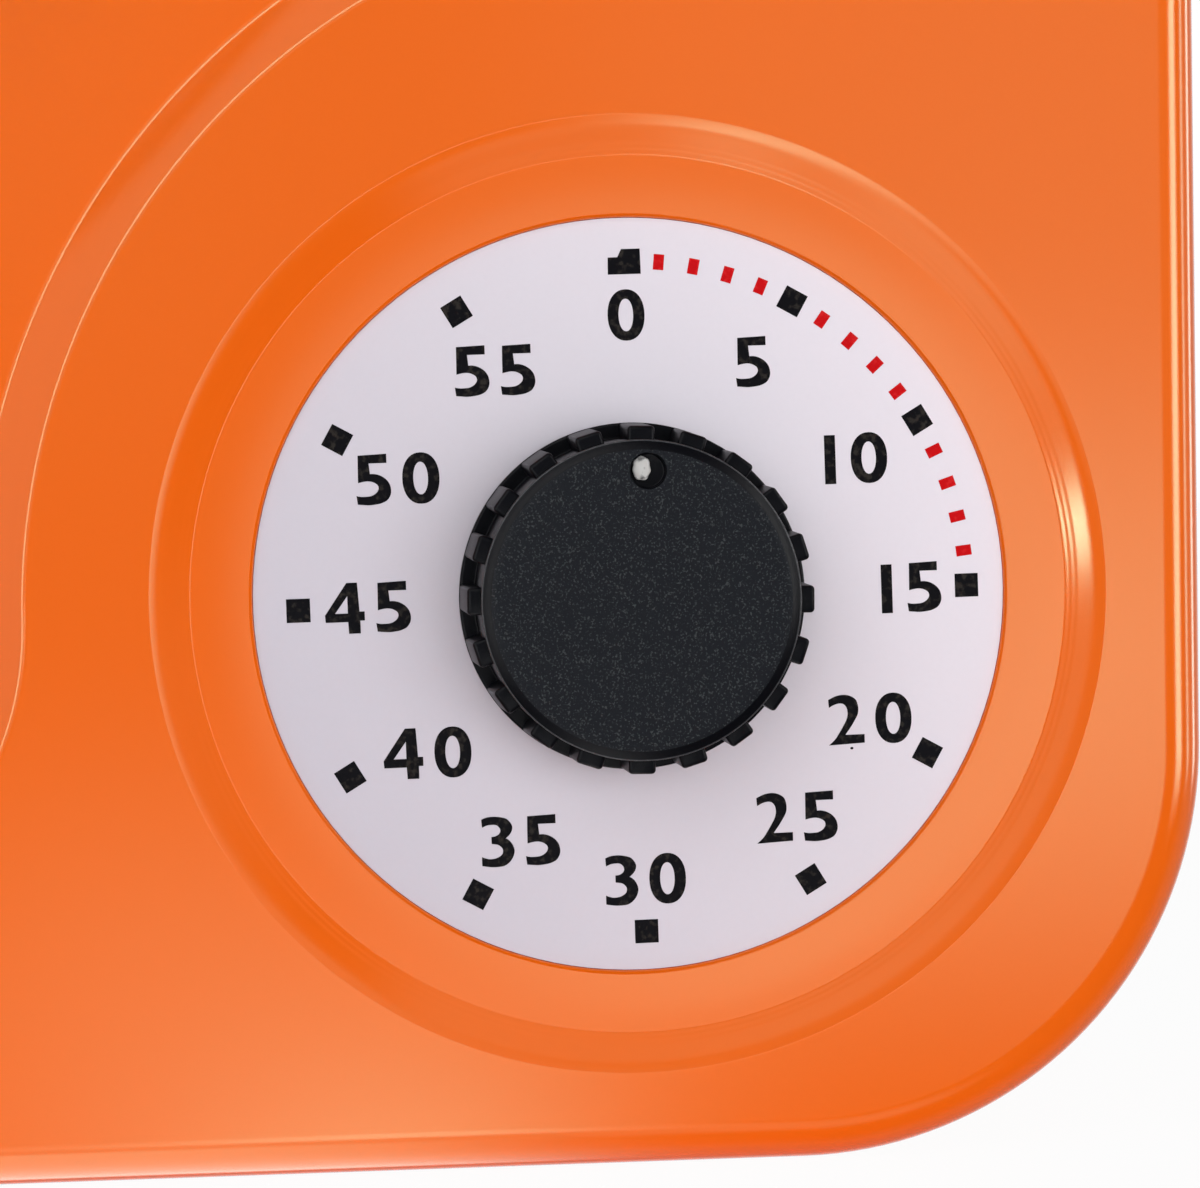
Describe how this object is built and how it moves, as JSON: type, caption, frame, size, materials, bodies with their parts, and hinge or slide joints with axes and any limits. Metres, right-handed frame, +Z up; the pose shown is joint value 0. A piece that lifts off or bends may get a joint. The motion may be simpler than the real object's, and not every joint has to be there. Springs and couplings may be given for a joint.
{
  "type": "kitchen clock with countdown timer",
  "caption": "Square wall or shelf clock in a pressed orange case with a sunk panel, and a wind-up countdown timer with a black ribbed knob in a round dish at its lower right.",
  "frame": {"origin": "middle of the case's flat underside, half way between its rear rim and its front face", "axes": "+Z up, +X to the right seen from the front, +Y from the front to the back, so the dials face -Y"},
  "size_m": [0.24, 0.06, 0.24],
  "materials": {
    "case_paint": "glossy orange paint with a light orange-peel surface",
    "cover_plastic": "fine-grained black moulding",
    "bright_steel": "zinc-plated and plain steel",
    "plate_steel": "plain rolled steel plate",
    "spring_steel": "blued spring steel",
    "dial_print": "white printed dial with black figures and red marks",
    "knob_plastic": "spark-grained black moulding",
    "movement_plastic": "black movement housing",
    "white_plastic": "white gear moulding",
    "brass": "stamped brass",
    "bell_metal": "bright plated steel bell",
    "hand_black": "satin black paint",
    "hand_red": "satin red paint",
    "clear_lens": "clear moulded lens",
    "cell_wrap": "plain wrapped dry cell"
  },
  "bodies": {
    "case": {"front_case": "case_paint", "cover_lugs": "bright_steel", "back_cover": "cover_plastic", "cover_screws": "bright_steel", "timer_dial": "dial_print", "timer_nut": "bright_steel", "timer_washer": "bright_steel", "timer_front_plate": "plate_steel", "timer_back_plate": "plate_steel", "timer_pillars": "bright_steel", "mainspring": "spring_steel", "bell": "bell_metal", "bell_post": "bright_steel", "clock_dial": "dial_print", "clock_lens": "clear_lens", "quartz_movement": "movement_plastic", "quartz_nut": "brass", "battery": "cell_wrap", "battery_contacts": "bright_steel"},
    "winder": {"timer_knob": "knob_plastic", "timer_arbor": "bright_steel", "main_wheel": "brass"},
    "second_train": {"second_wheel": "brass"},
    "third_train": {"third_wheel": "brass"},
    "escape_train": {"escape_wheel": "brass"},
    "balance_body": {"balance": "brass"},
    "striker": {"hammer": "bright_steel"},
    "hour": {"hour_pipe": "white_plastic", "hour_hand": "hand_black"},
    "minute": {"minute_arbor": "brass", "minute_hand": "hand_black"},
    "second": {"second_arbor": "bright_steel", "second_hand": "hand_red"},
    "setter": {"setting_wheel": "movement_plastic"}
  },
  "joints": [
    {"name": "wind", "type": "hinge", "parent": "case", "child": "winder", "pos_m": [0.0714, 0, 0.0481], "axis": [0, 1, 0], "range_deg": [0, 355]},
    {"name": "second_wheel_turn", "type": "hinge", "parent": "case", "child": "second_train", "pos_m": [0.06775, 0, 0.06878], "axis": [0, 1, 0], "range_deg": [-2130, 0]},
    {"name": "third_wheel_turn", "type": "hinge", "parent": "case", "child": "third_train", "pos_m": [0.08128, 0, 0.06516], "axis": [0, 1, 0], "range_deg": [0, 12780]},
    {"name": "escape_wheel_turn", "type": "hinge", "parent": "case", "child": "escape_train", "pos_m": [0.08976, 0, 0.05667], "axis": [0, 1, 0], "range_deg": [-63900, 0]},
    {"name": "balance_swing", "type": "hinge", "parent": "case", "child": "balance_body", "pos_m": [0.09267, 0, 0.04868], "axis": [0, 1, 0], "range_deg": [-5, 5]},
    {"name": "hammer_swing", "type": "hinge", "parent": "case", "child": "striker", "pos_m": [0.0794, 0, 0.0351], "axis": [0, 1, 0], "range_deg": [-5, 7]},
    {"name": "minute_hand_turn", "type": "hinge", "parent": "case", "child": "minute", "pos_m": [-0.0255, 0, 0.1455], "axis": [0, 1, 0], "continuous": true},
    {"name": "hour_hand_turn", "type": "hinge", "parent": "case", "child": "hour", "pos_m": [-0.0255, 0, 0.1455], "axis": [0, 1, 0], "continuous": true},
    {"name": "second_hand_turn", "type": "hinge", "parent": "case", "child": "second", "pos_m": [-0.0255, 0, 0.1455], "axis": [0, 1, 0], "continuous": true},
    {"name": "setting_turn", "type": "hinge", "parent": "case", "child": "setter", "pos_m": [-0.0255, 0, 0.1605], "axis": [0, 1, 0], "continuous": true}
  ],
  "couplings": [
    {"joint": "second_wheel_turn", "follows": "wind", "ratio": -6},
    {"joint": "third_wheel_turn", "follows": "wind", "ratio": 36},
    {"joint": "escape_wheel_turn", "follows": "wind", "ratio": -180},
    {"joint": "hour_hand_turn", "follows": "minute_hand_turn", "ratio": 0.083333},
    {"joint": "setting_turn", "follows": "minute_hand_turn", "ratio": -0.33333}
  ]
}
